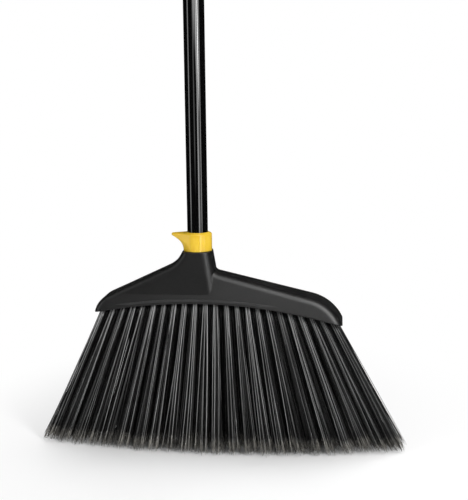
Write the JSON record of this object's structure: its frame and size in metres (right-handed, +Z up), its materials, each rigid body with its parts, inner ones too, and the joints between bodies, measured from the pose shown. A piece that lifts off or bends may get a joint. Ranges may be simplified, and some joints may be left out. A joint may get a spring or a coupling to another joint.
{
  "type": "angled floor broom",
  "caption": "Upright floor broom with an angled moulded hood, fanned flagged bristles, a beaked locking collar and a two-piece tube handle with a grip and hanging eye.",
  "frame": {"origin": "on the floor, under the middle of the bristles' sweep", "axes": "+Z up along the handle, +X along the head towards its longer side, the front faces -Y"},
  "size_m": [0.3436, 0.0618, 1.4],
  "materials": {
    "hood_plastic": "satin black moulded plastic",
    "block_plastic": "matt black moulded plastic",
    "fixing_steel": "plain steel",
    "bristle_fibre": "black synthetic bristle with flagged ends",
    "collar_plastic": "glossy yellow moulded plastic",
    "plug_plastic": "matt black moulded plastic",
    "handle_paint": "gloss black coated steel tube",
    "sleeve_plastic": "glossy black moulded plastic",
    "grip_plastic": "satin black moulded plastic"
  },
  "bodies": {
    "head": {"head_shell": "hood_plastic", "bristle_block": "block_plastic", "block_screws": "fixing_steel", "tuft_staples": "fixing_steel", "bristle_row_1": "bristle_fibre", "bristle_row_2": "bristle_fibre", "bristle_row_3": "bristle_fibre", "bristle_row_4": "bristle_fibre", "bristle_row_5": "bristle_fibre"},
    "collar": {"lock_collar": "collar_plastic"},
    "lower_handle": {"handle_tip": "plug_plastic", "lower_tube": "handle_paint", "coupling_sleeve": "sleeve_plastic"},
    "upper_handle": {"tube_connector": "plug_plastic", "upper_tube": "handle_paint", "hand_grip": "grip_plastic", "hang_cap": "grip_plastic"}
  },
  "joints": [
    {"name": "collar_twist", "type": "hinge", "parent": "head", "child": "collar", "pos_m": [-0.019, 0, 0.196], "axis": [0, 0, 1], "range_deg": [0, 90]},
    {"name": "handle_pull", "type": "slide", "parent": "head", "child": "lower_handle", "axis": [0, 0, 1], "range_m": [0, 0.055]},
    {"name": "upper_handle_pull", "type": "slide", "parent": "lower_handle", "child": "upper_handle", "axis": [0, 0, 1], "range_m": [0, 0.06]}
  ]
}
